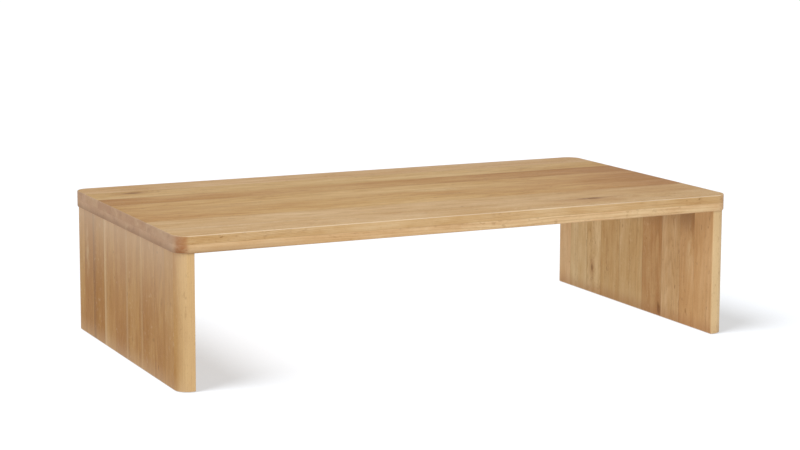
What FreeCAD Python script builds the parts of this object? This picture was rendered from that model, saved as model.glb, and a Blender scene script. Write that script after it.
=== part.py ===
import FreeCAD, Part
import math
import os

from FreeCAD import Vector

# A low coffee table of solid oak staves, in millimetres. The origin is on the floor under the
# middle of the table. +X runs along its length, +Y towards its back and +Z up.

# The whole table
table_length = 1440.0
table_depth = 750.0
table_height = 350.0
corner_radius = 35.0
cut_overrun = 5.0
same_place = 0.001

# The top: two layers of staves that run its full length, glued edge to edge and layer to layer.
# Stave widths are shares of the table's depth, from the back edge to the front edge.
top_thickness = 40.0
top_edge_radius = 2.5
lower_layer_share = 0.5
upper_stave_shares = (97, 98, 100, 80, 90, 82, 103, 100)
lower_stave_shares = (108, 117, 125, 82, 66, 67, 95, 90)

# A leg: one layer of upright staves, set in a little from the top's outline all round.
# Stave widths are shares of the leg's width, from its back edge to its front edge.
leg_thickness = 40.0
leg_inset = 3.0
leg_edge_radius = 3.0
foot_chamfer = 1.5
left_stave_shares = (72, 67, 86, 82, 92, 105, 83, 70, 87)
right_stave_shares = (62, 85, 72, 95, 111, 92, 82, 63, 82)

# Felt pads stuck to the foot of each leg
pad_count = 3
pad_length = 60.0
pad_width = 24.0
pad_thickness = 1.5
pad_end_distance = 72.0

# Loose tongue, glued in a stopped groove in the top of each leg and another in the underside of the top
tongue_thickness = 12.0
tongue_in_leg = 12.0
tongue_in_top = 14.0
tongue_end_distance = 80.0
tongue_glue_gap = 0.05
tongue_end_gap = 1.0

# Steel angle in the inner corner between a leg and the top
angle_end_distance = 222.0
angle_flange = 32.0
angle_sheet = 3.0
angle_inner_bend = 2.0
angle_corner_radius = 6.0
angle_hole_distance = 18.0

# Countersunk wood screws from the angle into the leg
screw_count = 2
screw_end_distance = 75.0
screw_diameter = 4.5
screw_head_diameter = 8.8
screw_length = 30.0
screw_gap = 0.05
screw_end_gap = 1.0

# Threaded inserts in the underside of the top
insert_diameter = 10.0
insert_length = 15.0
insert_gap = 0.05
insert_end_gap = 1.0

# Flat-headed bolts from below, each with a washer, through slots in the angle
bolt_count = 2
bolt_end_distance = 40.0
bolt_diameter = 6.0
bolt_length = 16.0
bolt_head_diameter = 12.0
bolt_head_height = 2.5
bolt_thread_gap = 0.05
slot_width = 6.6
slot_length = 12.0
washer_diameter = 14.0
washer_thickness = 1.5
washer_hole_gap = 0.2

# Places worked out from the sizes above
half_length = table_length / 2
half_depth = table_depth / 2
underside_z = table_height - top_thickness
layer_line_z = underside_z + top_thickness * lower_layer_share
foot_z = pad_thickness
leg_outer_x = half_length - leg_inset
leg_inner_x = leg_outer_x - leg_thickness
leg_middle_x = leg_outer_x - leg_thickness / 2
leg_half_width = half_depth - leg_inset
leg_corner_radius = min(corner_radius - leg_inset, leg_thickness - leg_edge_radius)
angle_length = 2 * (leg_half_width - angle_end_distance)
angle_face_x = leg_inner_x - angle_sheet
angle_face_z = underside_z - angle_sheet
bolt_x = leg_inner_x - angle_hole_distance
bolt_seat_z = angle_face_z - washer_thickness
bolt_tip_z = bolt_seat_z + bolt_length
screw_z = underside_z - angle_hole_distance
quarter_turn = math.pi / 2
up = Vector(0, 0, 1)
down = Vector(0, 0, -1)
inward = Vector(-1, 0, 0)


def rounded_face(low_x, high_x, half_width, z, low_radius, high_radius):
    """A level face between two X places, with one radius for its low-X corners and one for the others."""
    corners = (
        (low_x + low_radius, low_radius - half_width, low_radius, 2 * quarter_turn),
        (high_x - high_radius, high_radius - half_width, high_radius, 3 * quarter_turn),
        (high_x - high_radius, half_width - high_radius, high_radius, 0.0),
        (low_x + low_radius, half_width - low_radius, low_radius, quarter_turn),
    )
    arcs = []
    for x, y, radius, start in corners:
        circle = Part.Circle(Vector(x, y, z), up, radius)
        arcs.append(circle.toShape(start, start + quarter_turn))
    edges = []
    for arc, next_arc in zip(arcs, arcs[1:] + arcs[:1]):
        edges.append(arc)
        arc_end = arc.Vertexes[-1].Point
        next_start = next_arc.Vertexes[0].Point
        if arc_end.distanceToPoint(next_start) > same_place:
            edges.append(Part.makeLine(arc_end, next_start))
    return Part.Face(Part.Wire(edges))


def edges_at_height(solid, z):
    """The edges of a solid that lie level at one height."""
    return [edge for edge in solid.Edges if all(abs(v.Z - z) < same_place for v in edge.Vertexes)]


def turned(profile, place, axis):
    """A solid turned about an axis, from (radius, distance along the axis) points."""
    points = [Vector(radius, 0, along) for radius, along in profile]
    face = Part.Face(Part.makePolygon(points + points[:1]))
    solid = face.revolve(Vector(0, 0, 0), up, 360)
    solid.Placement = FreeCAD.Placement(place, FreeCAD.Rotation(up, axis))
    return solid


def evenly_spaced(count, half_width, end_distance):
    """Places along a width, evenly spaced, with the outer two at a distance from its ends."""
    reach = half_width - end_distance
    return [reach * (2 * index / (count - 1) - 1) for index in range(count)]


def on_both_sides(pieces):
    """The pieces of the right-hand side, with the same pieces turned half round for the left-hand side."""
    both = []
    for piece in pieces:
        opposite = piece.copy()
        opposite.rotate(Vector(0, 0, 0), up, 180)
        both.extend([piece, opposite])
    return both


def cut_into_staves(panel, half_width, low_z, high_z, shares):
    """Slices of a panel, from its back edge to its front edge, between two heights."""
    cuts = [half_width]
    for share in shares:
        cuts.append(cuts[-1] - 2 * half_width * share / sum(shares))
    cuts[0] = half_width + cut_overrun
    cuts[-1] = -half_width - cut_overrun
    box = panel.BoundBox
    staves = []
    for back, front in zip(cuts, cuts[1:]):
        corner = Vector(box.XMin - cut_overrun, front, low_z)
        window = Part.makeBox(box.XLength + 2 * cut_overrun, back - front, high_z - low_z, corner)
        staves.append(panel.common(window).Solids[0])
    return staves


# Where each kind of fixing sits along the depth of the table
pad_places = evenly_spaced(pad_count, leg_half_width, pad_end_distance)
screw_places = evenly_spaced(screw_count, angle_length / 2, screw_end_distance)
bolt_places = evenly_spaced(bolt_count, angle_length / 2, bolt_end_distance)


def make_pads():
    """Flat felt pads between the right foot and the floor."""
    pads = []
    for y in pad_places:
        corner = Vector(leg_middle_x - pad_width / 2, y - pad_length / 2, 0)
        pads.append(Part.makeBox(pad_width, pad_length, pad_thickness, corner))
    return pads


def make_tongue(gap, end_gap):
    """The loose tongue over the middle of the right leg, or its groove when it is given gaps."""
    half_length_y = leg_half_width - tongue_end_distance + end_gap
    width = tongue_thickness + 2 * gap
    height = tongue_in_leg + tongue_in_top + 2 * end_gap
    corner = Vector(leg_middle_x - width / 2, -half_length_y, underside_z - tongue_in_leg - end_gap)
    return Part.makeBox(width, 2 * half_length_y, height, corner)


def make_inserts():
    """Threaded tubes let into the underside of the top, flush with it."""
    bore = bolt_diameter / 2 + bolt_thread_gap
    body = insert_diameter / 2
    profile = ((bore, 0), (body, 0), (body, insert_length), (bore, insert_length))
    return [turned(profile, Vector(bolt_x, y, underside_z), up) for y in bolt_places]


def make_insert_holes():
    """Blind bores for the inserts, deep enough for the tips of the bolts too."""
    radius = insert_diameter / 2 + insert_gap
    depth = max(insert_length, bolt_tip_z - underside_z) + insert_end_gap
    return [Part.makeCylinder(radius, depth, Vector(bolt_x, y, underside_z)) for y in bolt_places]


def make_washers():
    """Flat washers against the underside of the angle."""
    bore = bolt_diameter / 2 + washer_hole_gap
    rim = washer_diameter / 2
    profile = ((bore, 0), (rim, 0), (rim, washer_thickness), (bore, washer_thickness))
    return [turned(profile, Vector(bolt_x, y, angle_face_z), down) for y in bolt_places]


def make_bolts():
    """Flat-headed bolts, up through washer and slot into the insert."""
    head = bolt_head_diameter / 2
    shank = bolt_diameter / 2
    profile = (
        (0, -bolt_length),
        (shank, -bolt_length),
        (shank, 0),
        (head, 0),
        (head, bolt_head_height),
        (0, bolt_head_height),
    )
    return [turned(profile, Vector(bolt_x, y, bolt_seat_z), down) for y in bolt_places]


def make_screws(gap, end_gap):
    """Countersunk wood screws, flush with the angle's face, or their clearance when they are given gaps."""
    shank = screw_diameter / 2 + gap
    head = screw_head_diameter / 2 + gap
    profile = (
        (0, -end_gap),
        (shank, -end_gap),
        (shank, screw_length - (head - shank)),
        (head, screw_length),
        (0, screw_length),
    )
    tip_x = angle_face_x + screw_length
    return [turned(profile, Vector(tip_x, y, screw_z), inward) for y in screw_places]


def rounded_slot(y):
    """A round-ended slot along Y, cut through the angle's upper flange."""
    radius = slot_width / 2
    half_straight = (slot_length - slot_width) / 2
    low_z = angle_face_z - cut_overrun
    height = angle_sheet + 2 * cut_overrun
    corner = Vector(bolt_x - radius, y - half_straight, low_z)
    slot = Part.makeBox(slot_width, 2 * half_straight, height, corner)
    for side in (-1, 1):
        slot = slot.fuse(Part.makeCylinder(radius, height, Vector(bolt_x, y + side * half_straight, low_z)))
    return slot


def make_angle():
    """The right leg's bent steel strip, slotted in its upper flange and countersunk in its lower one."""
    outer_bend = angle_inner_bend + angle_sheet
    lean = 1 - math.sqrt(0.5)
    y = -angle_length / 2
    x = leg_inner_x
    z = underside_z
    far_x = x - angle_flange
    low_z = z - angle_flange
    outer_start = Vector(x - outer_bend, y, z)
    outer_middle = Vector(x - outer_bend * lean, y, z - outer_bend * lean)
    outer_end = Vector(x, y, z - outer_bend)
    inner_start = Vector(angle_face_x, y, angle_face_z - angle_inner_bend)
    inner_lean = angle_inner_bend * lean
    inner_middle = Vector(angle_face_x - inner_lean, y, angle_face_z - inner_lean)
    inner_end = Vector(angle_face_x - angle_inner_bend, y, angle_face_z)
    outline = Part.Wire([
        Part.makeLine(Vector(far_x, y, z), outer_start),
        Part.Arc(outer_start, outer_middle, outer_end).toShape(),
        Part.makeLine(outer_end, Vector(x, y, low_z)),
        Part.makeLine(Vector(x, y, low_z), Vector(angle_face_x, y, low_z)),
        Part.makeLine(Vector(angle_face_x, y, low_z), inner_start),
        Part.Arc(inner_start, inner_middle, inner_end).toShape(),
        Part.makeLine(inner_end, Vector(far_x, y, angle_face_z)),
        Part.makeLine(Vector(far_x, y, angle_face_z), Vector(far_x, y, z)),
    ])
    strip = Part.Face(outline).extrude(Vector(0, angle_length, 0))
    free_corners = []
    for edge in strip.Edges:
        middle = edge.CenterOfMass
        at_end = abs(abs(middle.y) - angle_length / 2) < same_place
        at_far_edge = abs(middle.x - far_x) < same_place or abs(middle.z - low_z) < same_place
        if at_end and at_far_edge and abs(edge.Length - angle_sheet) < same_place:
            free_corners.append(edge)
    strip = strip.makeFillet(angle_corner_radius, free_corners)
    for y in bolt_places:
        strip = strip.cut(rounded_slot(y))
    for hole in make_screws(screw_gap, screw_end_gap):
        strip = strip.cut(hole)
    return strip


def make_top():
    """The whole top as one eased slab, with the grooves and bores that its underside carries."""
    face = rounded_face(-half_length, half_length, half_depth, underside_z, corner_radius, corner_radius)
    slab = face.extrude(Vector(0, 0, top_thickness))
    edges = edges_at_height(slab, underside_z) + edges_at_height(slab, table_height)
    slab = slab.makeFillet(top_edge_radius, edges)
    groove = make_tongue(tongue_glue_gap, tongue_end_gap)
    for hole in on_both_sides([groove] + make_insert_holes()):
        slab = slab.cut(hole)
    return slab


def make_leg():
    """The whole right leg as one slab: outer corners follow the top's, inner edges and foot eased."""
    inner_x, outer_x = leg_inner_x, leg_outer_x
    face = rounded_face(inner_x, outer_x, leg_half_width, foot_z, leg_edge_radius, leg_corner_radius)
    slab = face.extrude(Vector(0, 0, underside_z - foot_z))
    slab = slab.makeChamfer(foot_chamfer, edges_at_height(slab, foot_z))
    slab = slab.cut(make_tongue(tongue_glue_gap, tongue_end_gap))
    for hole in make_screws(screw_gap, screw_end_gap):
        slab = slab.cut(hole)
    return slab


# Build every piece under the name of its node
nodes = {}

top = make_top()
top_low_z = underside_z - cut_overrun
top_high_z = table_height + cut_overrun
upper_staves = cut_into_staves(top, half_depth, layer_line_z, top_high_z, upper_stave_shares)
lower_staves = cut_into_staves(top, half_depth, top_low_z, layer_line_z, lower_stave_shares)

right_leg = make_leg()
left_leg = right_leg.copy()
left_leg.rotate(Vector(0, 0, 0), up, 180)
leg_top_z = underside_z + cut_overrun
right_staves = cut_into_staves(right_leg, leg_half_width, -cut_overrun, leg_top_z, right_stave_shares)
left_staves = cut_into_staves(left_leg, leg_half_width, -cut_overrun, leg_top_z, left_stave_shares)

panels = {
    "top_upper_stave": upper_staves,
    "top_lower_stave": lower_staves,
    "left_leg_stave": left_staves,
    "right_leg_stave": right_staves,
}
for name, staves in panels.items():
    for number, stave in enumerate(staves, start=1):
        nodes[f"{name}_{number}"] = stave

right_angle, left_angle = on_both_sides([make_angle()])
nodes["right_leg_angle"] = right_angle
nodes["left_leg_angle"] = left_angle
right_tongue, left_tongue = on_both_sides([make_tongue(0, 0)])
nodes["right_leg_tongue"] = right_tongue
nodes["left_leg_tongue"] = left_tongue
nodes["felt_pads"] = Part.makeCompound(on_both_sides(make_pads()))
nodes["angle_screws"] = Part.makeCompound(on_both_sides(make_screws(0, 0)))
nodes["threaded_inserts"] = Part.makeCompound(on_both_sides(make_inserts()))
nodes["bolt_washers"] = Part.makeCompound(on_both_sides(make_washers()))
nodes["angle_bolts"] = Part.makeCompound(on_both_sides(make_bolts()))

os.makedirs("parts", exist_ok=True)
for name, shape in nodes.items():
    shape.exportStep(f"parts/{name}.step")
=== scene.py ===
import math
import random

import bmesh
import bpy
from mathutils import Matrix, Vector


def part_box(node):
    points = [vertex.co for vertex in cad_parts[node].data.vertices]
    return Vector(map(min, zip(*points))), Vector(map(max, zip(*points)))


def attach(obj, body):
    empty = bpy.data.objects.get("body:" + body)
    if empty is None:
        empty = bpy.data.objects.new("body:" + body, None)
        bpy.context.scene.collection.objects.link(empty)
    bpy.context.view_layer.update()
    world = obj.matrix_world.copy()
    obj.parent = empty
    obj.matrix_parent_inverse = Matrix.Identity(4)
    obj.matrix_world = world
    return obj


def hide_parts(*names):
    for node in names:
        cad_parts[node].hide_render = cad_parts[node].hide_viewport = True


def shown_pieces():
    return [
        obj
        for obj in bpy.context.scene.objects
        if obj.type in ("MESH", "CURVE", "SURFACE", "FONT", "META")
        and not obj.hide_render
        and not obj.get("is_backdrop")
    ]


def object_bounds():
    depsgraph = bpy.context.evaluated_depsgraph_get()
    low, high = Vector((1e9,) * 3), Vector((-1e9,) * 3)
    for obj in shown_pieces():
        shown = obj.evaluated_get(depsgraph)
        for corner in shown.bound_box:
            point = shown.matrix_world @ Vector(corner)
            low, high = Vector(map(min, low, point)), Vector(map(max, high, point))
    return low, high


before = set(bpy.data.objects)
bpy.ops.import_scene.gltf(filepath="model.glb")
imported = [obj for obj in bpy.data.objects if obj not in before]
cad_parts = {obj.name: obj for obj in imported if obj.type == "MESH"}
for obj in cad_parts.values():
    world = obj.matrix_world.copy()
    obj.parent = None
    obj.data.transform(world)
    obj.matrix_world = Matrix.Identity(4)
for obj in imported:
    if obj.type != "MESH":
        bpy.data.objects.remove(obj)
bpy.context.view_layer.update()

# Oiled oak

# Every stave is planed from solid oak and finished with a clear satin oil. The figure is that of a
# real log: growth rings about a leaning pith, open pores in each ring's early wood, ray flecks,
# pale sapwood at some edges, a few small knots, and darker, redder end grain.


def colour(code):
    """A colour written as six hexadecimal digits, as the linear values that sockets take."""
    values = []
    for start in (0, 2, 4):
        share = int(code[start:start + 2], 16) / 255
        values.append(share / 12.92 if share <= 0.04045 else ((share + 0.055) / 1.055) ** 2.4)
    return (*values, 1.0)


def new_material(name):
    """An empty node material with its output, as (material, tree, output)."""
    material = bpy.data.materials.new(name)
    material.use_nodes = True
    material.node_tree.nodes.clear()
    return material, material.node_tree, material.node_tree.nodes.new("ShaderNodeOutputMaterial")


def node(tree, kind, sockets=None, **settings):
    """A new node with its settings, whose sockets are given values or linked."""
    made = tree.nodes.new(kind)
    for key, value in settings.items():
        setattr(made, key, value)
    for key, value in (sockets or {}).items():
        if isinstance(value, bpy.types.NodeSocket):
            tree.links.new(value, made.inputs[key])
        else:
            made.inputs[key].default_value = value
    return made


def tree_of(*values):
    """The node tree of the sockets among some values."""
    return next(value.id_data for value in values if isinstance(value, bpy.types.NodeSocket))


def calc(operation, *values, clamp=False):
    """The result of one Math node."""
    sockets = dict(enumerate(values))
    made = node(tree_of(*values), "ShaderNodeMath", sockets, operation=operation, use_clamp=clamp)
    return made.outputs[0]


def product(first, *others):
    """Values multiplied together, one after another."""
    for other in others:
        first = calc("MULTIPLY", first, other)
    return first


def swing(value, reach):
    """A value from 0 to 1 as one that swings about nought, times a reach."""
    return product(calc("SUBTRACT", value, 0.5), reach)


def vector_calc(operation, *values):
    """The result of one Vector Math node."""
    sockets = dict(enumerate(values))
    made = node(tree_of(*values), "ShaderNodeVectorMath", sockets, operation=operation)
    return made.outputs["Value" if operation in ("LENGTH", "DOT_PRODUCT") else "Vector"]


def parts_of(vector):
    """The X, Y and Z of a vector."""
    return node(tree_of(vector), "ShaderNodeSeparateXYZ", {0: vector}).outputs


def attribute(tree, name):
    """A vector that the mesh carries under a name."""
    return node(tree, "ShaderNodeAttribute", attribute_name=name).outputs["Vector"]


def ramp(value, low, high, to_low=0.0, to_high=1.0):
    """A value eased from one range into another."""
    sockets = {0: value, 1: low, 2: high, 3: to_low, 4: to_high}
    return node(tree_of(value), "ShaderNodeMapRange", sockets, interpolation_type="SMOOTHSTEP").outputs[0]


def blend(share, first, second, kind="MIX"):
    """Two colours mixed by a share, each given as a socket or as six hexadecimal digits."""
    first, second = (colour(given) if isinstance(given, str) else given for given in (first, second))
    sockets = {0: share, 6: first, 7: second}
    tree = tree_of(share, first, second)
    return node(tree, "ShaderNodeMix", sockets, data_type="RGBA", blend_type=kind).outputs[2]


def noise(place, stretch, detail=2.0, roughness=0.5, distortion=0.0, output=0):
    """Noise over a place whose three directions are scaled apart."""
    scaled = vector_calc("MULTIPLY", place, stretch)
    sockets = {
        "Vector": scaled, "Scale": 1.0, "Detail": detail, "Roughness": roughness, "Distortion": distortion}
    return node(tree_of(place), "ShaderNodeTexNoise", sockets).outputs[output]


def wander(place, stretch, reach, detail=2.0):
    """A vector that swings about nought from place to place, times a reach for each direction."""
    spread = vector_calc("SUBTRACT", noise(place, stretch, detail, output=1), (0.5,) * 3)
    return vector_calc("MULTIPLY", spread, reach)


def place_in(tree):
    """The place on the table, in metres."""
    return node(tree, "ShaderNodeTexCoord").outputs["Object"]


def surfaced(output, shade, roughness, height, strength, depth, others=None):
    """Ends a material in a surface with a colour, a roughness and a fine relief of a depth."""
    tree = tree_of(shade)
    relief = node(tree, "ShaderNodeBump", {"Strength": strength, "Distance": depth, "Height": height})
    sockets = {"Base Color": shade, "Roughness": roughness, "Normal": relief.outputs[0], **(others or {})}
    tree.links.new(node(tree, "ShaderNodeBsdfPrincipled", sockets).outputs[0], output.inputs[0])


# What each stave's mesh carries: its place in the log, its tone, how bold its figure is and its sheen
# level, which above nought is a painted sheen and below nought darkens its head, partly as painted shade
oak, tree, output = new_material("oiled_oak")
log_place = attribute(tree, "log_place")
tone, contrast, sheen_and_head_shade = parts_of(attribute(tree, "traits"))

# The rings wander about the pith and swell round the knots
drift = wander(log_place, (1.1, 7.0, 7.0), (0.0, 0.030, 0.030))
waver = wander(log_place, (5.0, 45.0, 45.0), (0.0, 0.005, 0.005))
shake = wander(log_place, (20.0, 90.0, 90.0), (0.9,) * 3, detail=1.0)
bent = vector_calc("ADD", vector_calc("ADD", log_place, drift), waver)
cross = vector_calc("MULTIPLY", bent, (0.0, 1.0, 1.0))
radius = vector_calc("LENGTH", cross)
ring_width = 0.0034
rings = product(radius, 1 / ring_width)
rings_pushed = 7.0
nearness = {}
for name, fall in (("knot", -0.16), ("plume", -0.9)):
    away = vector_calc("ADD", attribute(tree, name), shake)
    nearness[name] = vector_calc("LENGTH", away)
    swell = calc("EXPONENT", product(calc("POWER", nearness[name], 2.0), fall))
    rings = calc("ADD", rings, product(swell, rings_pushed))

# One ring: a sudden dark start of open early wood that fades into dense, even late wood
phase = calc("FRACT", rings)
early = calc("MAXIMUM", ramp(phase, 0.0, 0.55, 1.0, 0.0), ramp(phase, 0.86, 1.0))
year = noise(cross, (0.0, 150.0, 150.0), detail=1.0)
come_and_go = noise(log_place, (2.6, 24.0, 24.0))
early = product(early, product(ramp(come_and_go, 0.34, 0.68, 0.25), ramp(year, 0.3, 0.7, 0.35), contrast))

# Streaks: broad clouds of tone and fine lines of fibre, both long along the log
cloud = noise(log_place, (2.6, 17.0, 17.0), detail=3.0, roughness=0.55)
patch = noise(bent, (12.0, 48.0, 48.0), detail=3.0, roughness=0.62)
band = noise(bent, (5.0, 95.0, 95.0), detail=3.0, roughness=0.6)
fibre = noise(bent, (14.0, 620.0, 620.0), roughness=0.6)
streak = noise(bent, (4.0, 140.0, 140.0), detail=3.0, roughness=0.6)
lean = tone
for figure, reach in ((cloud, 0.62), (patch, 0.56), (band, 0.36), (fibre, 0.34)):
    lean = calc("ADD", lean, swing(figure, reach))
timber = node(tree, "ShaderNodeValToRGB", {0: lean})
stops = timber.color_ramp.elements
stops[0].color = colour("E2C598")
stops[1].color = colour("AC794A")
for position, code in ((0.28, "D6B183"), (0.55, "C89E6B"), (0.8, "B98957")):
    stops.new(position).color = colour(code)
shade = blend(product(early, 0.52), timber.outputs[0], "A0713F")
shade = blend(ramp(streak, 0.57, 0.76, 0.0, 0.42), shade, "A27546")

# The stave's own cast, then sapwood along an edge, or a dark band where its strength is below nought;
# on the right leg's front edge the pale band is painted light
shade = blend(1.0, shade, attribute(tree, "tint"), "MULTIPLY")
at_back, at_front, sap_strength = parts_of(attribute(tree, "sapwood"))
sap_and_lit_edge = calc("ADD", calc("MAXIMUM", at_back, at_front), swing(band, 0.5))
sap_and_lit_edge = product(ramp(sap_and_lit_edge, 0.0, 1.0), sap_strength)
shade = blend(calc("MAXIMUM", sap_and_lit_edge, 0.0), shade, "E4C898")
shade = blend(calc("MULTIPLY", sap_and_lit_edge, -1.0, clamp=True), shade, "80502C")

# A rare brown mineral streak, pale feathered plumes, and knots with a dark heart
mineral = noise(log_place, (4.0, 55.0, 55.0), roughness=0.55)
shade = blend(ramp(mineral, 0.69, 0.80, 0.0, 0.45), shade, "8F6540")
curled = vector_calc("ADD", bent, vector_calc("MULTIPLY", shake, (0.012,) * 3))
curl = noise(curled, (28.0, 120.0, 120.0))
feather = product(ramp(nearness["plume"], 0.3, 1.5, 1.0, 0.0), ramp(curl, 0.36, 0.58), 0.42)
shade = blend(feather, shade, "E4CB9E")
shade = blend(ramp(nearness["knot"], 0.8, 3.4, 0.42, 0.0), shade, "A37141")
shade = blend(ramp(nearness["knot"], 0.45, 1.2, 0.75, 0.0), shade, "6C4414")

# Short dark dashes where the figure is bold, and a few pin knots
dash = noise(bent, (60.0, 120.0, 120.0), detail=3.0, roughness=0.6)
dash = product(ramp(dash, 0.55, 0.70), ramp(come_and_go, 0.48, 0.60), 0.32)
shade = blend(dash, shade, "8F6238")
pin = noise(log_place, (55.0, 130.0, 130.0), detail=0.0)
shade = blend(ramp(pin, 0.79, 0.86, 0.0, 0.5), shade, "7E5426")

# Open pores in the early wood, and the fine flecks of the rays that run out from the pith
pore = noise(log_place, (260.0, 2600.0, 2600.0), detail=1.0)
pore = product(ramp(pore, 0.58, 0.72), ramp(phase, 0.05, 0.6, 1.0, 0.25))
shade = blend(product(pore, 0.38), shade, "6F4A2B")
along_pith, beside_pith, above_pith = parts_of(bent)
around = product(calc("ARCTAN2", above_pith, beside_pith), radius)
ray_place = node(tree, "ShaderNodeCombineXYZ", {0: along_pith, 1: around, 2: radius}).outputs[0]
ray = ramp(noise(ray_place, (75.0, 1900.0, 60.0), detail=1.0), 0.60, 0.74)
shade = blend(product(ray, 0.20), shade, "E7CFA9")

# Painted sheen: sideways faces are made paler towards a leg's head, and a little at its foot as painted light
# from the floor
place = place_in(tree)
place_x, _, place_z = parts_of(place)
facing = node(tree, "ShaderNodeTexCoord").outputs["Normal"]
facing_x, _, facing_z = parts_of(facing)
sideways = calc("ABSOLUTE", facing_x)
climb = node(tree, "ShaderNodeMapRange", {0: place_z, 1: 0.10, 2: 0.30}).outputs[0]
painted_sheen = calc("ADD", calc("POWER", climb, 1.8), ramp(place_z, -0.02, 0.05, 0.75, 0.0))
shade = blend(product(painted_sheen, sideways, sheen_and_head_shade), shade, "EFD4B6")

# A sheen level below nought darkens the stave's head, partly its own darker wood and partly painted
# shade under the top; painted shade also darkens the right leg's foot a little, near the floor
head = ramp(place_z, 0.215, 0.285)
shade = blend(product(head, calc("MULTIPLY", sheen_and_head_shade, -1.0, clamp=True)), shade, "6E4827")
foot = ramp(place_z, 0.0, 0.042, 0.45, 0.0)
painted_foot_shade = product(foot, ramp(place_x, 0.3, 0.6), ramp(sideways, 0.0, 1.0, 0.35))
shade = blend(painted_foot_shade, shade, "A36F47")

# End grain drinks more oil: darker, greyer, mottled, with the rings as arcs
along = calc("ABSOLUTE", vector_calc("DOT_PRODUCT", facing, attribute(tree, "fibre")))
end = ramp(along, 0.35, 0.95)
mottle = noise(place, (20.0, 26.0, 42.0), detail=3.0, roughness=0.6)
soaked = blend(0.66, shade, "C7A187")
soaked = blend(ramp(mottle, 0.54, 0.70, 0.0, 0.40), soaked, "DDC09A")
soaked = blend(ramp(mottle, 0.32, 0.46, 0.24, 0.0), soaked, "9C765C")
soaked = blend(product(early, 0.22), soaked, "8A6747")
shade = blend(end, shade, soaked)

# The round corners cut slantwise across the fibres and soak up oil in patches, most at the left
level = calc("ABSOLUTE", facing_z)
blotch = noise(place, (60.0, 60.0, 90.0), detail=3.0, roughness=0.6)
slant = product(
    ramp(along, 0.10, 0.48), ramp(along, 0.80, 1.0, 1.0, 0.0), ramp(place_x, -0.5, 0.6, 0.70, 0.22),
    ramp(blotch, 0.34, 0.60, 0.64, 1.05), ramp(level, 0.10, 0.40, 1.0, 0.0),
    ramp(place_z, 0.312, 0.336, 1.5))
shade = blend(slant, shade, "AA734A")

# Painted shade: the top's left end and the corner beside it are darkened towards the lower edge
painted_low_shade = product(
    ramp(place_z, 0.3095, 0.3100), ramp(place_z, 0.306, 0.329, 0.44, 0.0),
    ramp(place_x, -0.62, -0.30, 1.0, 0.0))
shade = blend(painted_low_shade, shade, "6E4C30")

# The dark hairline of glue between staves and between layers, fainter across end grain
to_back, to_front, to_layer = parts_of(attribute(tree, "rim"))
glue_core, glue_reach = 0.00015, 0.0006
seam = ramp(calc("MINIMUM", to_back, to_front), glue_core, glue_reach, 0.50, 0.0)
seam = calc("MAXIMUM", seam, ramp(to_layer, glue_core, glue_reach, 0.36, 0.0))
seam = product(seam, calc("SUBTRACT", 1.0, product(end, 0.7)))
shade = blend(seam, shade, "7C5836")

# Painted highlight along eased edges that face up, and painted shade along those that face down
eased = product(
    ramp(level, 0.08, 0.35), ramp(level, 0.75, 0.97, 1.0, 0.0), ramp(along, 0.1, 0.5, 1.0, 0.35))
upward = ramp(facing_z, -0.02, 0.02)
shade = blend(product(eased, upward, 0.50), shade, "F0DFC4")
shade = blend(product(eased, calc("SUBTRACT", 1.0, upward), 0.35), shade, "9C6B3E")

# Fibres stand up a little, pores and early wood lie lower, and pores and end grain are duller
height = calc("SUBTRACT", product(fibre, 0.25), product(pore, 0.8))
height = calc("SUBTRACT", height, product(early, 0.35))
dull = calc("ADD", ramp(cloud, 0.2, 0.8, 0.50, 0.62), product(pore, 0.2), clamp=True)
dull = calc("ADD", dull, product(end, 0.1), clamp=True)
surfaced(output, shade, dull, height, 0.35, 0.0002, {"Specular IOR Level": 0.10})

# The top

# Sixteen long oak staves in two layers, glued edge to edge and layer to layer into one board.
# The board's corners are rounded on plan, and all its arrises are eased and sanded.

# Sizes are in metres. Points nearer than the tiny distance are one, and far is off the table.
corner_radius = 0.035
edge_radius = 0.0025
arc_steps = 20
edge_steps = 6
tiny = 0.00002
far = 9.0


def outline(low, high, inset, low_radius, high_radius):
    """A box on plan, set in, as (x, y) points, with the radii of its corners at low X and at high X."""
    points = []
    for side_x, side_y, radius, start in (
        (0, 0, low_radius, 180), (1, 0, high_radius, 270), (1, 1, high_radius, 0), (0, 1, low_radius, 90)
    ):
        x = high.x - radius if side_x else low.x + radius
        y = high.y - radius if side_y else low.y + radius
        for step in range(arc_steps + 1):
            turn = math.radians(start + 90 * step / arc_steps)
            points.append((x + (radius - inset) * math.cos(turn), y + (radius - inset) * math.sin(turn)))
    return points


def slab(low, high, low_radius, high_radius, top_ease, foot_ease):
    """A closed board with rounded corners and eased edges, as a bmesh."""
    body = bmesh.new()
    levels = []
    for step in range(edge_steps + 1):
        turn = math.pi / 2 * step / edge_steps
        levels.append((foot_ease * (1 - math.sin(turn)), low.z + foot_ease * (1 - math.cos(turn))))
    for step in range(edge_steps + 1):
        turn = math.pi / 2 * (1 - step / edge_steps)
        levels.append((top_ease * (1 - math.sin(turn)), high.z - top_ease * (1 - math.cos(turn))))
    rows = []
    for inset, z in levels:
        if rows and abs(z - rows[-1][0].co.z) < tiny:
            continue
        ring = outline(low, high, inset, low_radius, high_radius)
        rows.append([body.verts.new((x, y, z)) for x, y in ring])
    for row, upper in zip(rows, rows[1:]):
        for index in range(len(row)):
            after = (index + 1) % len(row)
            body.faces.new((row[index], row[after], upper[after], upper[index]))
    body.faces.new(list(reversed(rows[0])))
    body.faces.new(rows[-1])
    bmesh.ops.remove_doubles(body, verts=body.verts, dist=tiny / 10)
    bmesh.ops.recalc_face_normals(body, faces=body.faces)
    return body


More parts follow.
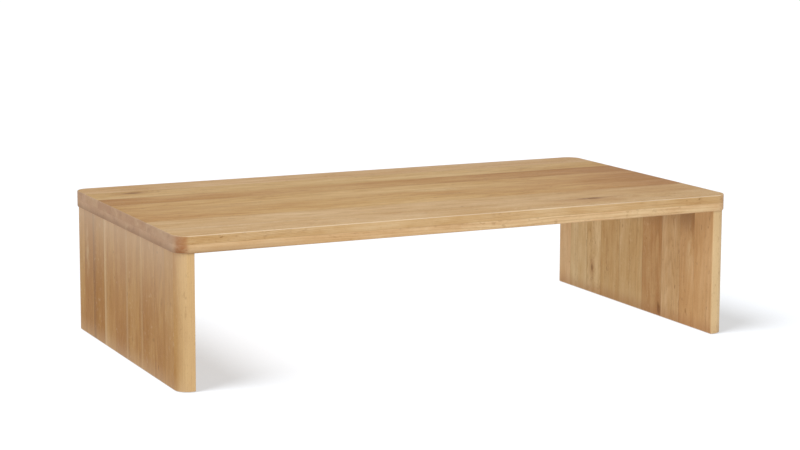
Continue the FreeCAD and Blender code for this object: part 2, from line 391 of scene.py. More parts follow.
def rolled_normal(point, low, high, low_radius, high_radius, top_ease, foot_ease):
    """The outward direction of a board's true rounded surface at a point on it."""
    radius = high_radius if point.x > (low.x + high.x) / 2 else low_radius
    upper = point.z > (low.z + high.z) / 2
    ease = top_ease if upper else foot_ease
    centre_x = min(max(point.x, low.x + radius), high.x - radius)
    centre_y = min(max(point.y, low.y + radius), high.y - radius)
    flat = Vector((point.x - centre_x, point.y - centre_y, 0))
    if flat.length < tiny:
        return Vector((0, 0, 1 if upper else -1))
    outward = flat.normalized()
    if ease < tiny:
        return outward
    across = max(0.0, flat.length - (radius - ease))
    upward = max(0.0, point.z - (high.z - ease)) if upper else min(0.0, point.z - (low.z + ease))
    direction = outward * across + Vector((0, 0, upward))
    return direction.normalized() if direction.length > tiny else outward


def in_scene(name, data):
    """A new object in the scene, at the origin."""
    made = bpy.data.objects.new(name, data)
    bpy.context.scene.collection.objects.link(made)
    return made


def evaluated_mesh(changed):
    """A plain mesh of an object as its modifiers leave it."""
    bpy.context.view_layer.update()
    graph = bpy.context.evaluated_depsgraph_get()
    return bpy.data.meshes.new_from_object(changed.evaluated_get(graph))


def solid_of(boxes, rods):
    """One cutting object of boxes, by their corners, and rods, each as (foot, axis, radius, length)."""
    tool = bmesh.new()
    for low, high in boxes:
        place = Matrix.Translation((low + high) / 2) @ Matrix.Diagonal((*(high - low), 1.0))
        bmesh.ops.create_cube(tool, size=1.0, matrix=place)
    for foot, axis, radius, length in rods:
        turn = axis.to_track_quat("Z", "Y").to_matrix().to_4x4()
        place = Matrix.Translation(foot + axis * length / 2) @ turn
        bmesh.ops.create_cone(
            tool, cap_ends=True, segments=32, radius1=radius, radius2=radius, depth=length, matrix=place)
    mesh = bpy.data.meshes.new("cutter")
    tool.to_mesh(mesh)
    tool.free()
    return in_scene("cutter", mesh)


def slice_at(body, place, facing, clear_outer=False):
    """Cuts a bmesh along a plane, and takes away what lies beyond the plane if asked."""
    bmesh.ops.bisect_plane(
        body, geom=body.verts[:] + body.edges[:] + body.faces[:], dist=tiny / 10,
        plane_co=place, plane_no=facing, clear_outer=clear_outer)


def cut_stave(name, board, limits, cutter=None):
    """The part of a board that lies in one stave's box, less its grooves and bores, as a new object."""
    piece = board.copy()
    for axis in (1, 2):
        for side, level in ((-1, limits[0][axis]), (1, limits[1][axis])):
            if max(vert.co[axis] * side for vert in piece.verts) <= level * side + tiny:
                continue
            place, facing = Vector(), Vector()
            place[axis], facing[axis] = level, side
            slice_at(piece, place, facing, clear_outer=True)
            rim = [edge for edge in piece.edges if edge.is_boundary]
            bmesh.ops.holes_fill(piece, edges=rim, sides=0)
    bmesh.ops.recalc_face_normals(piece, faces=piece.faces)
    mesh = bpy.data.meshes.new(name)
    piece.to_mesh(mesh)
    piece.free()
    stave = in_scene(name, mesh)
    if cutter:
        modifier = stave.modifiers.new("grooves and bores", "BOOLEAN")
        modifier.object, modifier.operation, modifier.solver = cutter, "DIFFERENCE", "EXACT"
        cut = evaluated_mesh(stave)
        stave.modifiers.remove(modifier)
        stave.data = cut
        cut.name = name
    return stave


def carry(mesh, name, values):
    """Stores one vector for each vertex of a mesh."""
    layer = mesh.attributes.new(name, "FLOAT_VECTOR", "POINT")
    layer.data.foreach_set("vector", [part for value in values for part in value])


def set_normals(mesh, shape):
    """Shades the outer faces as the board's true rounded surface, and the level and sawn faces flat."""
    nearly_along, nearly_level = 0.94, 0.9999
    normals = []
    for face in mesh.polygons:
        outer = rolled_normal(face.center, *shape).dot(face.normal) > nearly_along
        curved = outer and abs(face.normal.z) < nearly_level
        for index in face.vertices:
            normals.append(rolled_normal(mesh.vertices[index].co, *shape) if curved else face.normal)
    mesh.shade_smooth()
    mesh.normals_split_custom_set(normals)


def depth_in(distance, width):
    """How deep in a band along an edge: 1 at the edge, 0 at the band's limit and below nought past it."""
    return 1 - distance / width if width else -1.0


def seen_from(knot, log, point):
    """A point's place from a knot in the knot's own size, or a far one where there is no knot."""
    if not knot:
        return (far,) * 3
    middle, size, stretch = knot
    away = (log @ point) - (log @ Vector(middle))
    return away.x / (size * stretch), away.y / size, away.z / size


def finish_stave(stave, shape, log, tone, tint, traits, sap_and_lit_edge, knots, limits, layer_z):
    """Gives a stave its normals, the looks that its mesh carries and its material, and sets it in place of
    its part.

    The tone is a level, a rise along X and a bow. The traits are how bold the figure is and the sheen
    level: above nought a painted sheen, below nought a head darkened partly by painted shade. The sapwood
    is its widths at the back and front edge, its strength and its slant; on the right leg's front edge it
    is a pale band of painted light."""
    mesh = stave.data
    set_normals(mesh, shape)
    level, rise, bow = tone
    back, front, strength, slant = sap_and_lit_edge
    low, high = limits
    # The board's own edges have no glue line, so they count as far off
    no_back = far if high.y > shape[1].y - tiny else 0.0
    no_front = far if low.y < shape[0].y + tiny else 0.0
    fibre = log.to_3x3().transposed() @ Vector((1, 0, 0))
    looks = []
    for vertex in mesh.vertices:
        point = vertex.co
        to_back, to_front = high.y - point.y, point.y - low.y
        lead = slant * (point.x - (low.x if slant > 0 else high.x))
        looks.append({
            "log_place": log @ point,
            "fibre": fibre,
            "traits": (level + rise * point.x + bow * point.x ** 2, *traits),
            "tint": tint,
            "rim": (to_back + no_back, to_front + no_front, abs(point.z - layer_z)),
            "sapwood": (depth_in(to_back - lead, back), depth_in(to_front - lead, front), strength),
            "knot": seen_from(knots.get("knot"), log, point),
            "plume": seen_from(knots.get("plume"), log, point),
        })
    for name in looks[0]:
        carry(mesh, name, [look[name] for look in looks])
    mesh.materials.append(oak)
    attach(stave, "root")
    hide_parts(stave.name.replace("oak_", ""))


# For a flat-sawn and a rift-sawn stave: how far the pith lies to its side, how far above or below it,
# and how much the pith leans; then the log's twist, and where along the log the stave starts
pith_ranges = {
    "f": ((-0.025, 0.025), (0.045, 0.09), (0.018, 0.035)),
    "r": ((0.06, 0.09), (0.05, 0.08), (0.004, 0.012)),
}
twist_range = (-0.01, 0.01)
start_range = (1, 40)


def log_matrix(draw, cut, middle, upright):
    """Turns a stave's place in the table into its place in a log: along, and two ways across the pith."""
    turn = Matrix(((0, 0, 1), (0, 1, 0), (1, 0, 0))) if upright else Matrix.Identity(3)
    side = draw.choice((-1, 1))
    aside, deep, lean = (draw.uniform(*limits) for limits in pith_ranges[cut])
    leaning = Matrix.Rotation(side * lean, 3, "Y") @ Matrix.Rotation(draw.uniform(*twist_range), 3, "Z")
    shift = Vector((draw.uniform(*start_range), side * aside, deep * draw.choice((-1, 1))))
    return Matrix.Translation(shift) @ (leaning @ turn).to_4x4() @ Matrix.Translation(-middle)


def staves_of(prefix, count):
    """The boxes of one layer's staves by their nodes, in order from the back edge."""
    return {f"{prefix}_{number}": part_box(f"{prefix}_{number}") for number in range(1, count + 1)}


def corner_places(low, high, reach):
    """The four places on plan that lie a reach in from the corners of a box."""
    return [(x, y) for x in (low.x + reach, high.x - reach) for y in (low.y + reach, high.y - reach)]


def box_round(boxes):
    """The box round some boxes."""
    low = Vector([min(box[0][axis] for box in boxes) for axis in range(3)])
    high = Vector([max(box[1][axis] for box in boxes) for axis in range(3)])
    return low, high


# The kinds of oak with their tones, and the casts that a stave's colour is multiplied by: none,
# yellow, mossy, grey-green, warm, very warm and straw
kinds = {"p": ("oak_pale", 0.30), "h": ("oak_honey", 0.46), "a": ("oak_amber", 0.62)}
casts = {
    "-": (1.0, 1.0, 1.0), "y": (0.99, 1.01, 0.88), "m": (0.975, 1.02, 1.04), "g": (0.99, 1.10, 1.12),
    "w": (1.02, 0.97, 0.72), "v": (1.02, 0.97, 0.63), "s": (1.02, 0.96, 0.77),
}
boldness = (0.7, 1.1)


def make_staves(staves, plan, board, shape, cutter, seed, knots, sapwood, upright=False, layer_z=far):
    """Saws a board into one layer's staves, and finishes each by its own values in the plan."""
    for number, ((name, limits), planned) in enumerate(zip(staves.items(), plan)):
        kind, cut, cast, shift, rise, bow, sheen_and_head_shade_level = planned
        slot, tone = kinds[kind]
        draw = random.Random(seed + number)
        stave = cut_stave("oak_" + name, board, limits, cutter)
        log = log_matrix(draw, cut, (limits[0] + limits[1]) / 2, upright)
        bold = draw.uniform(*boldness)
        finish_stave(
            stave, shape, log, (tone + shift, rise, bow), casts[cast], (bold, sheen_and_head_shade_level),
            sapwood.get(name, (0.0,) * 4), knots.get(name, {}), limits, layer_z)


# A plan has one value for each stave from the back edge: first its kind, then its cut, its cast, its
# tone's shift, rise along X and bow, and last its sheen level: a painted sheen above nought, and below
# nought a head darkened partly by painted shade
zeros = (0.0,) * 9
upper_plan = zip(
    "hpahhhpp", "rfrfrffr", "-yyyyymm", (-0.11, 0.07, 0.06, 0.01, 0.12, 0.04, 0.16, 0.14),
    (0.05, 0.10, 0.17, 0.20, 0.20, 0.18, 0.10, -0.03), (0.0, 0.32, 0.56, 0.75, 0.58, 0.76, 0.15, 0.0), zeros)
lower_plan = zip("phhhaphp", "frfrfrfr", "--------", zeros[:7] + (-0.06,), zeros[:7] + (-0.18,), zeros, zeros)

# Knots and pale plumes by their middle, size and stretch along the fibres
top_knots = {
    "top_upper_stave_2": {"knot": ((-0.610, 0.250, 0.354), 0.011, 2.4)},
    "top_upper_stave_5": {"plume": ((0.110, -0.010, 0.350), 0.022, 4.0)},
    "top_upper_stave_8": {
        "knot": ((0.375, -0.288, 0.364), 0.022, 2.4), "plume": ((0.470, -0.300, 0.350), 0.020, 4.0)},
}

# The grooves for the tongues and the bores for the inserts, with room for glue and tips
glue_gap, end_gap = 0.00005, 0.001
gaps = Vector((glue_gap, end_gap, end_gap))
grooves = []
for side in ("left", "right"):
    low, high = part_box(f"{side}_leg_tongue")
    grooves.append((low - gaps, high + gaps))
insert_radius = 0.005
low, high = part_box("threaded_inserts")
insert_bores = [
    (Vector((x, y, low.z - end_gap)), Vector((0, 0, 1)), insert_radius + glue_gap,
     high.z - low.z + 2 * end_gap) for x, y in corner_places(low, high, insert_radius)]
top_cutter = solid_of(grooves, insert_bores)

# The board is sliced along its length, so that a stave's tone can change between its ends
top_upper = staves_of("top_upper_stave", 8)
top_lower = staves_of("top_lower_stave", 8)
top_box = box_round([*top_upper.values(), *top_lower.values()])
top_shape = (*top_box, corner_radius, corner_radius, edge_radius, edge_radius)
top_board = slab(*top_shape)
for share in (-0.75, -0.5, -0.25, 0.0, 0.25, 0.5, 0.75):
    slice_at(top_board, (share * top_box[1].x, 0, 0), (1, 0, 0))
layer_joint = top_lower["top_lower_stave_1"][1].z
make_staves(top_upper, upper_plan, top_board, top_shape, None, 0, top_knots, {}, layer_z=layer_joint)
make_staves(top_lower, lower_plan, top_board, top_shape, top_cutter, 100, {}, {}, layer_z=layer_joint)
bpy.data.objects.remove(top_cutter)

# The legs

# Each leg is one layer of nine upright oak staves, a broad board on end. Its outer corners follow
# the top's, its inner edges and its foot are eased, and it stands 3 mm in from the top's outline.

leg_outer_radius = 0.032
leg_inner_radius = 0.003
foot_ease = 0.0015

# The plans are as for the top. On the left leg the sheen level is a painted sheen on its sides; below
# nought, on the right leg, it darkens a stave's head, partly its own colour and partly painted shade
left_plan = zip(
    "hhahhhhhp", "rfrfrfrfr", "wvvwwwwws", (0.30, 0.55, 0.26, 0.34, 0.42, 0.30, 0.38, 0.36, 0.38),
    zeros, zeros, (0.40,) * 8 + (0.28,))
right_plan = zip(
    "pphahahpp", "rrfrrffrr", "-ggggmm--", (-0.02, -0.02, -0.08, -0.12, -0.02, 0.06, -0.02, 0.16, 0.26),
    zeros, zeros, (0.0, 0.0, -0.16, -0.20, -0.35, -0.33, -0.27, -0.50, -0.05))

# Sapwood by its widths at the back and front edge, its strength and its slant along X; the right
# leg's ninth stave has a pale front band that is painted light
leg_sapwood_and_lit_edge = {
    "left_leg_stave_3": (0.032, 0.0, -0.55, 0.0),
    "left_leg_stave_4": (0.024, 0.0, 0.44, 0.0),
    "left_leg_stave_5": (0.0, 0.020, 0.27, 0.0),
    "left_leg_stave_6": (0.0, 0.022, 0.25, 0.0),
    "left_leg_stave_9": (0.0, 0.028, 0.46, 0.0),
    # The right leg's front edge: a pale band of painted light, not sapwood
    "right_leg_stave_9": (0.0, 0.005, 0.62, 0.4),
}
leg_knots = {
    "left_leg_stave_2": {
        "knot": ((-0.722, 0.300, 0.200), 0.006, 3.0), "plume": ((-0.717, 0.278, 0.210), 0.012, 4.5)},
    "right_leg_stave_3": {
        "knot": ((0.674, 0.196, 0.071), 0.006, 2.2), "plume": ((0.677, 0.172, 0.140), 0.020, 6.0)},
    "right_leg_stave_6": {"knot": ((0.679, -0.135, 0.020), 0.009, 2.2)},
    "right_leg_stave_8": {"plume": ((0.677, -0.270, 0.200), 0.012, 5.0)},
}

# The bores for the screws that come through the angles, with room for their threads and points
screw_length, screw_radius, screw_head_radius = 0.030, 0.00225, 0.0044
low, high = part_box("angle_screws")
screw_places = [
    (side * (high.x - screw_length), y, (low.z + high.z) / 2)
    for side in (-1, 1) for y in (low.y + screw_head_radius, high.y - screw_head_radius)]
screw_bores = [
    (Vector(place), Vector((math.copysign(1, place[0]), 0, 0)), screw_radius + glue_gap,
     screw_length + end_gap) for place in screw_places]
leg_cutter = solid_of(grooves, screw_bores)
for side, plan, seed in (("left", left_plan, 1000), ("right", right_plan, 1100)):
    staves = staves_of(f"{side}_leg_stave", 9)
    radii = (leg_outer_radius, leg_inner_radius) if side == "left" else (leg_inner_radius, leg_outer_radius)
    leg_shape = (*box_round(staves.values()), *radii, 0.0, foot_ease)
    make_staves(
        staves, plan, slab(*leg_shape), leg_shape, leg_cutter, seed, leg_knots, leg_sapwood_and_lit_edge, upright=True)
bpy.data.objects.remove(leg_cutter)

# Loose tongues

# A long tongue of beech joins each leg to the top. It is glued into a stopped groove in the leg's end
# grain and another in the underside of the top, so it is out of sight. Its grain crosses the joint.

beech, tree, output = new_material("beech")
place = place_in(tree)
growth = noise(place, (90.0, 160.0, 7.0), detail=3.0)
fleck = ramp(noise(place, (500.0, 900.0, 120.0), detail=1.0), 0.60, 0.70)
shade = blend(growth, "E0B58C", "C7946A")
shade = blend(product(fleck, 0.5), shade, "8E5E3C")
surfaced(output, shade, ramp(growth, 0.3, 0.7, 0.6, 0.75), growth, 0.3, 0.0002)
for name in ("left_leg_tongue", "right_leg_tongue"):
    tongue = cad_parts[name]
    tongue.data.materials.clear()
    tongue.data.materials.append(beech)

# Steel angles

# A folded steel strip sits in the inner corner between each leg and the top. It is slotted for the
# bolts and countersunk for the screws, its corners are rounded, and it is powder-coated black.

coated, tree, output = new_material("black_coated_steel")
place = place_in(tree)
peel = noise(place, (1400.0,) * 3)
haze = noise(place, (22.0,) * 3, detail=4.0)
speck = ramp(noise(place, (700.0,) * 3, detail=1.0), 0.66, 0.74)
shade = blend(haze, "26262A", "37363A")
shade = blend(product(speck, 0.4), shade, "5B5A5C")
surfaced(output, shade, ramp(haze, 0.3, 0.7, 0.42, 0.6), peel, 0.45, 0.0001)
arris_radius = 0.0003
flat_angle, smooth_angle, arris_angle = 1, 40, 50


def soften(mesh, degrees):
    """Smooth shading, kept sharp at edges above an angle."""
    mesh.shade_smooth()
    mesh.set_sharp_from_angle(angle=math.radians(degrees))


for name in ("left_leg_angle", "right_leg_angle"):
    folded = bmesh.new()
    folded.from_mesh(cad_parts[name].data)
    bmesh.ops.remove_doubles(folded, verts=folded.verts, dist=tiny)
    bmesh.ops.dissolve_limit(
        folded, angle_limit=math.radians(flat_angle), verts=folded.verts, edges=folded.edges)
    mesh = bpy.data.meshes.new("steel_" + name)
    folded.to_mesh(mesh)
    folded.free()
    mesh.materials.append(coated)
    soften(mesh, smooth_angle)
    bracket = in_scene("steel_" + name, mesh)
    rounding = bracket.modifiers.new("rolled arrises", "BEVEL")
    rounding.width, rounding.segments, rounding.angle_limit = arris_radius, 2, math.radians(arris_angle)
    flats = bracket.modifiers.new("flat faces", "WEIGHTED_NORMAL")
    flats.weight, flats.keep_sharp = 100, True
    rounded = evaluated_mesh(bracket)
    bracket.modifiers.clear()
    bracket.data = rounded
    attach(bracket, "root")
    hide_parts(name)

# Bolts

# Flat-headed steel bolts with a hexagon socket, bright zinc-plated. Each comes up from below through
# a washer and a slot of the angle into a threaded insert in the top. They can be undone for moving.

zinc, tree, output = new_material("zinc_plated_steel")
place = place_in(tree)
cloud = noise(place, (160.0,) * 3, detail=3.0)
grit = noise(place, (2600.0,) * 3)
shade = blend(cloud, "C9CCD0", "A9A9A4")
surfaced(output, shade, ramp(cloud, 0.3, 0.7, 0.26, 0.42), grit, 0.2, 0.00005, {"Metallic": 1.0})


def fixing_tree(name, sizes):
    """A node tree that takes points and named sizes, as (tree, its inputs' sockets, its output node)."""
    tree = bpy.data.node_groups.new(name, "GeometryNodeTree")
    tree.interface.new_socket("Places", in_out="INPUT", socket_type="NodeSocketGeometry")
    for label, value in sizes.items():
        size = tree.interface.new_socket(label, in_out="INPUT", socket_type="NodeSocketFloat")
        size.default_value = value
    tree.interface.new_socket("Pieces", in_out="OUTPUT", socket_type="NodeSocketGeometry")
    return tree, tree.nodes.new("NodeGroupInput").outputs, tree.nodes.new("NodeGroupOutput")


def turned(tree, columns, profile):
    """A closed solid turned on Z from (radius, height) pairs that go out along the foot, up and back in.

    A radius may be a function of the angle, for a recess that isn't round."""
    rows = len(profile)
    grid = node(tree, "GeometryNodeMeshGrid", {"Vertices X": columns + 1, "Vertices Y": rows})
    index = node(tree, "GeometryNodeInputIndex").outputs[0]
    column = calc("FLOOR", calc("DIVIDE", calc("ADD", index, 0.5), rows))
    turn = product(calc("MODULO", column, columns), math.tau / columns)
    row_index = calc("FLOORED_MODULO", index, rows)
    ring = node(tree, "GeometryNodeIndexSwitch", {"Index": row_index}, data_type="VECTOR")
    for _ in range(rows - 2):
        ring.index_switch_items.new()
    cosine, sine = calc("COSINE", turn), calc("SINE", turn)
    for row, (radius, height) in enumerate(profile):
        radius = radius(turn) if callable(radius) else radius
        x, y = product(radius, cosine), product(radius, sine)
        point = node(tree, "ShaderNodeCombineXYZ", {0: x, 1: y, 2: height})
        tree.links.new(point.outputs[0], ring.inputs[row + 1])
    shape = node(
        tree, "GeometryNodeSetPosition", {"Geometry": grid.outputs["Mesh"], "Position": ring.outputs[0]})
    weld = 0.000002
    closed = node(tree, "GeometryNodeMergeByDistance", {"Geometry": shape.outputs[0], "Distance": weld})
    return closed.outputs[0]


def thread(tree, radius, end_radius, ridge, start, length, pitch):
    """A helical ridge round a rod."""
    helix = node(tree, "GeometryNodeCurveSpiral", {
        "Resolution": 24, "Rotations": calc("DIVIDE", length, pitch), "Start Radius": radius,
        "End Radius": end_radius, "Height": length})
    section = node(tree, "GeometryNodeCurvePrimitiveCircle", {"Resolution": 4, "Radius": ridge})
    ridge_mesh = node(
        tree, "GeometryNodeCurveToMesh",
        {"Curve": helix.outputs[0], "Profile Curve": section.outputs["Curve"], "Fill Caps": True}).outputs[0]
    shift = node(tree, "ShaderNodeCombineXYZ", {2: start}).outputs[0]
    return node(tree, "GeometryNodeTransform", {"Geometry": ridge_mesh, "Translation": shift}).outputs[0]


def set_at_places(tree, inputs, output, shapes, material):
    """Puts one fixing at each point, turned as the point says."""
    whole = node(tree, "GeometryNodeJoinGeometry")
    for shape in shapes:
        tree.links.new(shape, whole.inputs[0])
    turn = node(tree, "GeometryNodeInputNamedAttribute", {"Name": "turn"}, data_type="FLOAT_VECTOR")
    turn = node(tree, "FunctionNodeEulerToRotation", {0: turn.outputs[0]}).outputs[0]
    placed = node(
        tree, "GeometryNodeInstanceOnPoints",
        {"Points": inputs["Places"], "Instance": whole.outputs[0], "Rotation": turn}).outputs[0]
    real = node(tree, "GeometryNodeRealizeInstances", {0: placed}).outputs[0]
    pieces = node(tree, "GeometryNodeSetMaterial", {"Geometry": real, "Material": material}).outputs[0]
    tree.links.new(pieces, output.inputs[0])


def repeated(name, tree, sizes, cad_node, places, turns=None):
    """The pieces that a tree sets at some places, as one plain mesh on the table."""
    points = bpy.data.meshes.new(name + "_places")
    points.from_pydata(places, [], [])
    carry(points, "turn", turns or [(0.0, 0.0, 0.0)] * len(places))
    holder = in_scene(name + "_places", points)
    modifier = holder.modifiers.new(name, "NODES")
    modifier.node_group = tree
    for item in tree.interface.items_tree:
        if item.in_out == "INPUT" and item.name in sizes:
            modifier[item.identifier] = sizes[item.name]
    mesh = evaluated_mesh(holder)
    bpy.data.objects.remove(holder)
    mesh.name = name
    turned_smooth_angle = 32
    soften(mesh, turned_smooth_angle)
    pieces = in_scene(name, mesh)
    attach(pieces, "root")
    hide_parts(cad_node)


bolt_sizes = {
    "Head Diameter": 0.012, "Head Height": 0.0025, "Shank Diameter": 0.006, "Length": 0.016,
    "Socket Width": 0.0046, "Socket Depth": 0.0017, "Thread Pitch": 0.001, "Thread Depth": 0.0003,
    "Chamfer": 0.0004, "Plain End": 0.001,
}
tree, sizes, output = fixing_tree("flat_headed_bolt", bolt_sizes)
head_radius = product(sizes["Head Diameter"], 0.5)
core_radius = calc("SUBTRACT", product(sizes["Shank Diameter"], 0.5), sizes["Thread Depth"])
head_low = product(sizes["Head Height"], -1.0)
socket_top = calc("ADD", head_low, sizes["Socket Depth"])


def socket_wall(turn):
    """How far the hexagon socket reaches from its middle at an angle."""
    from_flat = calc("SUBTRACT", calc("FLOORED_MODULO", turn, math.pi / 3), math.pi / 6)
    return calc("DIVIDE", product(sizes["Socket Width"], 0.5), calc("COSINE", from_flat))


solid = turned(tree, 48, [
    (0.0, socket_top),
    (socket_wall, socket_top),
    (socket_wall, head_low),
    (calc("SUBTRACT", head_radius, sizes["Chamfer"]), head_low),
    (head_radius, calc("ADD", head_low, sizes["Chamfer"])),
    (head_radius, 0.0),
    (core_radius, 0.0),
    (core_radius, calc("SUBTRACT", sizes["Length"], sizes["Chamfer"])),
    (calc("SUBTRACT", core_radius, sizes["Chamfer"]), sizes["Length"]),
    (0.0, sizes["Length"]),
])
threaded = calc("SUBTRACT", sizes["Length"], product(sizes["Plain End"], 2.0))
helix = thread(
    tree, core_radius, core_radius, sizes["Thread Depth"], sizes["Plain End"], threaded,
    sizes["Thread Pitch"])
set_at_places(tree, sizes, output, [solid, helix], zinc)
low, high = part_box("angle_bolts")
head_reach = bolt_sizes["Head Diameter"] / 2
bolt_places = [(x, y, low.z + bolt_sizes["Head Height"]) for x, y in corner_places(low, high, head_reach)]
repeated("zinc_angle_bolts", tree, bolt_sizes, "angle_bolts", bolt_places)

# Washers

# A flat zinc-plated washer spreads each bolt's pull over its slot. It was punched from sheet, so
# one of its rims is a little rounded.

washer_sizes = {"Diameter": 0.014, "Bore": 0.0064, "Thickness": 0.0015, "Rim": 0.0002}
tree, sizes, output = fixing_tree("flat_washer", washer_sizes)
outer = product(sizes["Diameter"], 0.5)
inner = product(sizes["Bore"], 0.5)
ring = turned(tree, 64, [
    (inner, sizes["Thickness"]),
    (inner, sizes["Rim"]),
    (calc("ADD", inner, sizes["Rim"]), 0.0),
    (calc("SUBTRACT", outer, sizes["Rim"]), 0.0),
    (outer, sizes["Rim"]),
    (outer, sizes["Thickness"]),
    (inner, sizes["Thickness"]),
])
set_at_places(tree, sizes, output, [ring], zinc)
low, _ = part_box("bolt_washers")
washer_places = [(x, y, low.z) for x, y, _ in bolt_places]
repeated("zinc_bolt_washers", tree, washer_sizes, "bolt_washers", washer_places)

# Threaded inserts

# Steel tubes, bored for the bolts and coarsely threaded outside, screwed into the underside of the
# top. The wood hides all but their eased mouths.

insert_sizes = {
    "Diameter": 2 * insert_radius, "Bore": 0.0061, "Length": 0.015, "Thread Depth": 0.0006,
    "Thread Pitch": 0.0025, "Thread Start": 0.003, "Thread Length": 0.010, "Mouth": 0.0003,
}
tree, sizes, output = fixing_tree("threaded_insert", insert_sizes)
core = calc("SUBTRACT", product(sizes["Diameter"], 0.5), sizes["Thread Depth"])
hollow = product(sizes["Bore"], 0.5)
tube = turned(tree, 48, [
    (hollow, sizes["Length"]),
    (hollow, sizes["Mouth"]),
    (calc("ADD", hollow, sizes["Mouth"]), 0.0),
    (core, 0.0),
    (core, sizes["Length"]),
    (hollow, sizes["Length"]),
])
coarse = thread(
    tree, core, core, sizes["Thread Depth"], sizes["Thread Start"], sizes["Thread Length"],
    sizes["Thread Pitch"])
set_at_places(tree, sizes, output, [tube, coarse], zinc)
low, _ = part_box("threaded_inserts")
insert_places = [(x, y, low.z) for x, y, _ in bolt_places]
insert_turn = 0.6
insert_turns = [(0.0, 0.0, insert_turn)] * len(insert_places)
repeated(
    "zinc_threaded_inserts", tree, insert_sizes, "threaded_inserts", insert_places,
    insert_turns)

# Wood screws

# Countersunk steel screws with a cross recess fix each angle to its leg. Their heads lie flush in
# the angle, and their threads taper to a point.

screw_sizes = {
    "Head Diameter": 2 * screw_head_radius, "Diameter": 2 * screw_radius, "Length": screw_length,
    "Thread Depth": 0.00065, "Thread Pitch": 0.0022, "Thread Start": 0.008, "Point": 0.006,
    "Tip": 0.001, "Neck": 0.001, "Recess Width": 0.0012, "Recess Reach": 0.0024, "Recess Depth": 0.0018,
    "Rim": 0.0003,
}
tree, sizes, output = fixing_tree("countersunk_screw", screw_sizes)
head_radius = product(sizes["Head Diameter"], 0.5)
thread_radius = product(sizes["Diameter"], 0.5)
core = calc("SUBTRACT", thread_radius, sizes["Thread Depth"])
cone_height = calc("SUBTRACT", head_radius, thread_radius)
straight = calc("SUBTRACT", sizes["Length"], sizes["Point"])


def recess_mouth(turn):
    """How far the cross recess reaches from its middle at an angle, at the face of the head."""
    along, aside = (calc("ABSOLUTE", calc(kind, turn)) for kind in ("COSINE", "SINE"))
    nearly_nought = 0.001
    along, aside = (calc("MAXIMUM", share, nearly_nought) for share in (along, aside))
    half_width = product(sizes["Recess Width"], 0.5)
    arms = []
    for lengthways, crossways in ((along, aside), (aside, along)):
        reach = calc("DIVIDE", sizes["Recess Reach"], lengthways)
        arms.append(calc("MINIMUM", reach, calc("DIVIDE", half_width, crossways)))
    return calc("MAXIMUM", *arms)


def recess_floor(turn):
    """The same at the floor of the recess, which is two fifths as wide."""
    return product(recess_mouth(turn), 2 / 5)


solid = turned(tree, 96, [
    (0.0, sizes["Recess Depth"]),
    (recess_floor, sizes["Recess Depth"]),
    (recess_mouth, 0.0),
    (head_radius, 0.0),
    (head_radius, sizes["Rim"]),
    (thread_radius, calc("ADD", cone_height, sizes["Rim"])),
    (core, calc("ADD", cone_height, sizes["Neck"])),
    (core, straight),
    (0.0, sizes["Length"]),
])
winding = thread(
    tree, core, core, sizes["Thread Depth"], sizes["Thread Start"],
    calc("SUBTRACT", straight, sizes["Thread Start"]), sizes["Thread Pitch"])
tip_radius, last_ridge = 0.0002, 0.7
last_turns = thread(
    tree, core, tip_radius, product(sizes["Thread Depth"], last_ridge), straight,
    calc("SUBTRACT", sizes["Point"], sizes["Tip"]), sizes["Thread Pitch"])
set_at_places(tree, sizes, output, [solid, winding, last_turns], zinc)
screw_turns = [(0.0, math.copysign(math.pi / 2, place[0]), 0.0) for place in screw_places]
repeated(
    "zinc_angle_screws", tree, screw_sizes, "angle_screws", screw_places, screw_turns)

# Felt pads

# Three strips of pressed wool felt are stuck to the foot of each leg, so that it slides without
# marking the floor. Their corners are rounded.

felt, tree, output = new_material("wool_felt")
place = place_in(tree)
fibres = noise(place, (900.0,) * 3, detail=4.0, distortion=1.5)
patches = noise(place, (60.0,) * 3)
shade = blend(fibres, "8B7F72", "B5AA9C")
shade = blend(product(patches, 0.3), shade, "6F6459")
surfaced(output, shade, ramp(fibres, 0.3, 0.7, 0.85, 1.0), fibres, 0.8, 0.0003, {"Sheen Weight": 0.3})

pad_sizes = {"Width": 0.024, "Length": 0.060, "Thickness": 0.0015, "Corner": 0.003}
tree, sizes, output = fixing_tree("felt_pad", pad_sizes)
oblong = node(
    tree, "GeometryNodeCurvePrimitiveQuadrilateral", {"Width": sizes["Width"], "Height": sizes["Length"]})
rounded = node(
    tree, "GeometryNodeFilletCurve", {"Curve": oblong.outputs[0], "Radius": sizes["Corner"], "Count": 8},
    mode="POLY")
sheet = node(tree, "GeometryNodeFillCurve", {"Curve": rounded.outputs[0]}, mode="NGONS").outputs[0]
lifted = node(
    tree, "GeometryNodeExtrudeMesh",
    {"Mesh": sheet, "Offset Scale": sizes["Thickness"], "Individual": False}, mode="FACES")
under = node(tree, "GeometryNodeFlipFaces", {"Mesh": sheet})
closed = node(tree, "GeometryNodeJoinGeometry")
for skin in (lifted, under):
    tree.links.new(skin.outputs[0], closed.inputs[0])
weld = 0.00001
pad = node(tree, "GeometryNodeMergeByDistance", {"Geometry": closed.outputs[0], "Distance": weld})
set_at_places(tree, sizes, output, [pad.outputs[0]], felt)
low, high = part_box("felt_pads")
half_width, half_length = pad_sizes["Width"] / 2, pad_sizes["Length"] / 2
pad_places = [
    (x, y, low.z) for x in (low.x + half_width, high.x - half_width)
    for y in (low.y + half_length, 0.0, high.y - half_length)]
repeated("wool_felt_pads", tree, pad_sizes, "felt_pads", pad_places)

# The studio

# A plain white floor that keeps the shadows, a white surround, one large soft lamp from the front
# and left, and a second one that only draws the legs' short shadows on the floor.

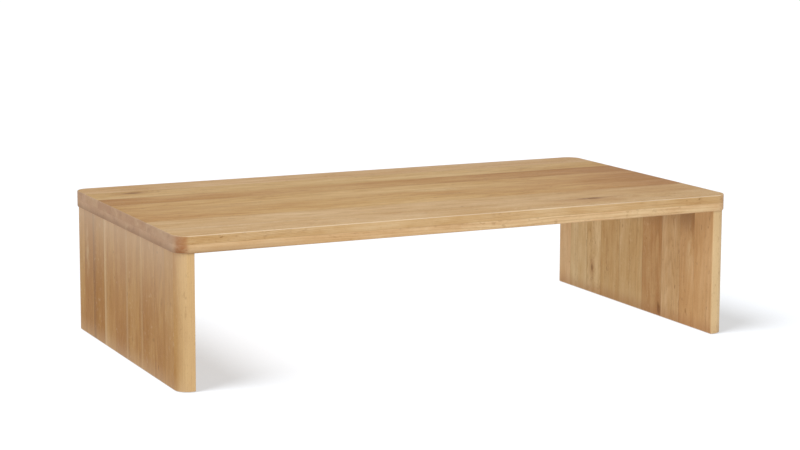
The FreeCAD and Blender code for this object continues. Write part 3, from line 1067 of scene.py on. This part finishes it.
floor_reach = 30.0
floor_corners = [(x * floor_reach, y * floor_reach, 0.0) for x, y in ((-1, -1), (1, -1), (1, 1), (-1, 1))]
floor_mesh = bpy.data.meshes.new("floor")
floor_mesh.from_pydata(floor_corners, [], [(0, 1, 2, 3)])
floor = in_scene("floor", floor_mesh)
material, tree, output = new_material("white_floor")
matt = node(tree, "ShaderNodeBsdfDiffuse", {"Color": (0.205, 0.216, 0.233, 1.0)})
glow = node(tree, "ShaderNodeEmission", {"Color": (1.0, 1.0, 1.0, 1.0), "Strength": 0.595})
both = node(tree, "ShaderNodeAddShader", {0: matt.outputs[0], 1: glow.outputs[0]})
tree.links.new(both.outputs[0], output.inputs[0])
floor_mesh.materials.append(material)
floor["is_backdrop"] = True

# The surround is bright to the camera and in reflections, and gives less light to the table
world = bpy.data.worlds.new("surround")
bpy.context.scene.world = world
world.use_nodes = True
tree = world.node_tree
tree.nodes.clear()
output = tree.nodes.new("ShaderNodeOutputWorld")
path = node(tree, "ShaderNodeLightPath")
seen = calc("MAXIMUM", path.outputs["Is Camera Ray"], path.outputs["Is Glossy Ray"])
seen = calc("MAXIMUM", seen, path.outputs["Is Transmission Ray"])
strength = node(tree, "ShaderNodeMapRange", {0: seen, 1: 0.0, 2: 1.0, 3: 0.45, 4: 1.0}).outputs[0]
surround = node(tree, "ShaderNodeBackground", {"Color": (1.0, 1.0, 1.0, 1.0), "Strength": strength})
tree.links.new(surround.outputs[0], output.inputs[0])


def lamp(name, kind, energy):
    """A lamp of a kind, as a new object on the stage."""
    light = bpy.data.lights.new(name, kind)
    light.energy = energy
    made = in_scene(name, light)
    made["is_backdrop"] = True
    return made


def linked(lamp_object, part, name, state, members):
    """Limits what a lamp lights, or what blocks it, to some objects or to all but those."""
    group = bpy.data.collections.new(name)
    for member in members:
        group.objects.link(member)
    setattr(lamp_object.light_linking, part, group)
    for entry in group.collection_objects:
        entry.light_linking.link_state = state


lamp_place, lamp_aim = Vector((-0.5, -2.15, 3.25)), Vector((0.0, 0.0, 0.2))
front_lamp = lamp("front_lamp", "AREA", 73.6)
front_lamp.data.shape, front_lamp.data.size = "SQUARE", 1.8
front_lamp.location = lamp_place
front_lamp.rotation_euler = (lamp_aim - lamp_place).to_track_quat("-Z", "Y").to_euler()
linked(front_lamp, "receiver_collection", "not_on_floor", "EXCLUDE", [floor])
shadow_lamp = lamp("shadow_lamp", "SUN", 6.9)
shadow_lamp.data.angle = math.radians(31)
shadow_lamp.rotation_euler = (0.0, math.radians(-35.2), math.radians(9))
linked(shadow_lamp, "receiver_collection", "on_floor", "INCLUDE", [floor])
legs = [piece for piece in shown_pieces() if "_leg_stave_" in piece.name]
linked(shadow_lamp, "blocker_collection", "leg_shadows", "INCLUDE", legs)

# The photo's viewpoint, from the front and left, looking down by 8.18 degrees
camera_data = bpy.data.cameras.new("camera")
camera_data.lens = 93.02
camera_data.shift_y = -0.07
camera = in_scene("camera", camera_data)
camera.location = (-2.2127, -4.5457, 1.1333)
heading, lifted, rolled = (math.radians(angle) for angle in (-25.949, 90 - 8.180, 0.219))
camera.rotation_euler = (
    Matrix.Rotation(heading, 4, "Z") @ Matrix.Rotation(lifted, 4, "X")
    @ Matrix.Rotation(rolled, 4, "Z")).to_euler()
bpy.context.scene.camera = camera
camera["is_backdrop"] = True

bpy.context.scene.view_settings.view_transform = "Standard"

low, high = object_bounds()
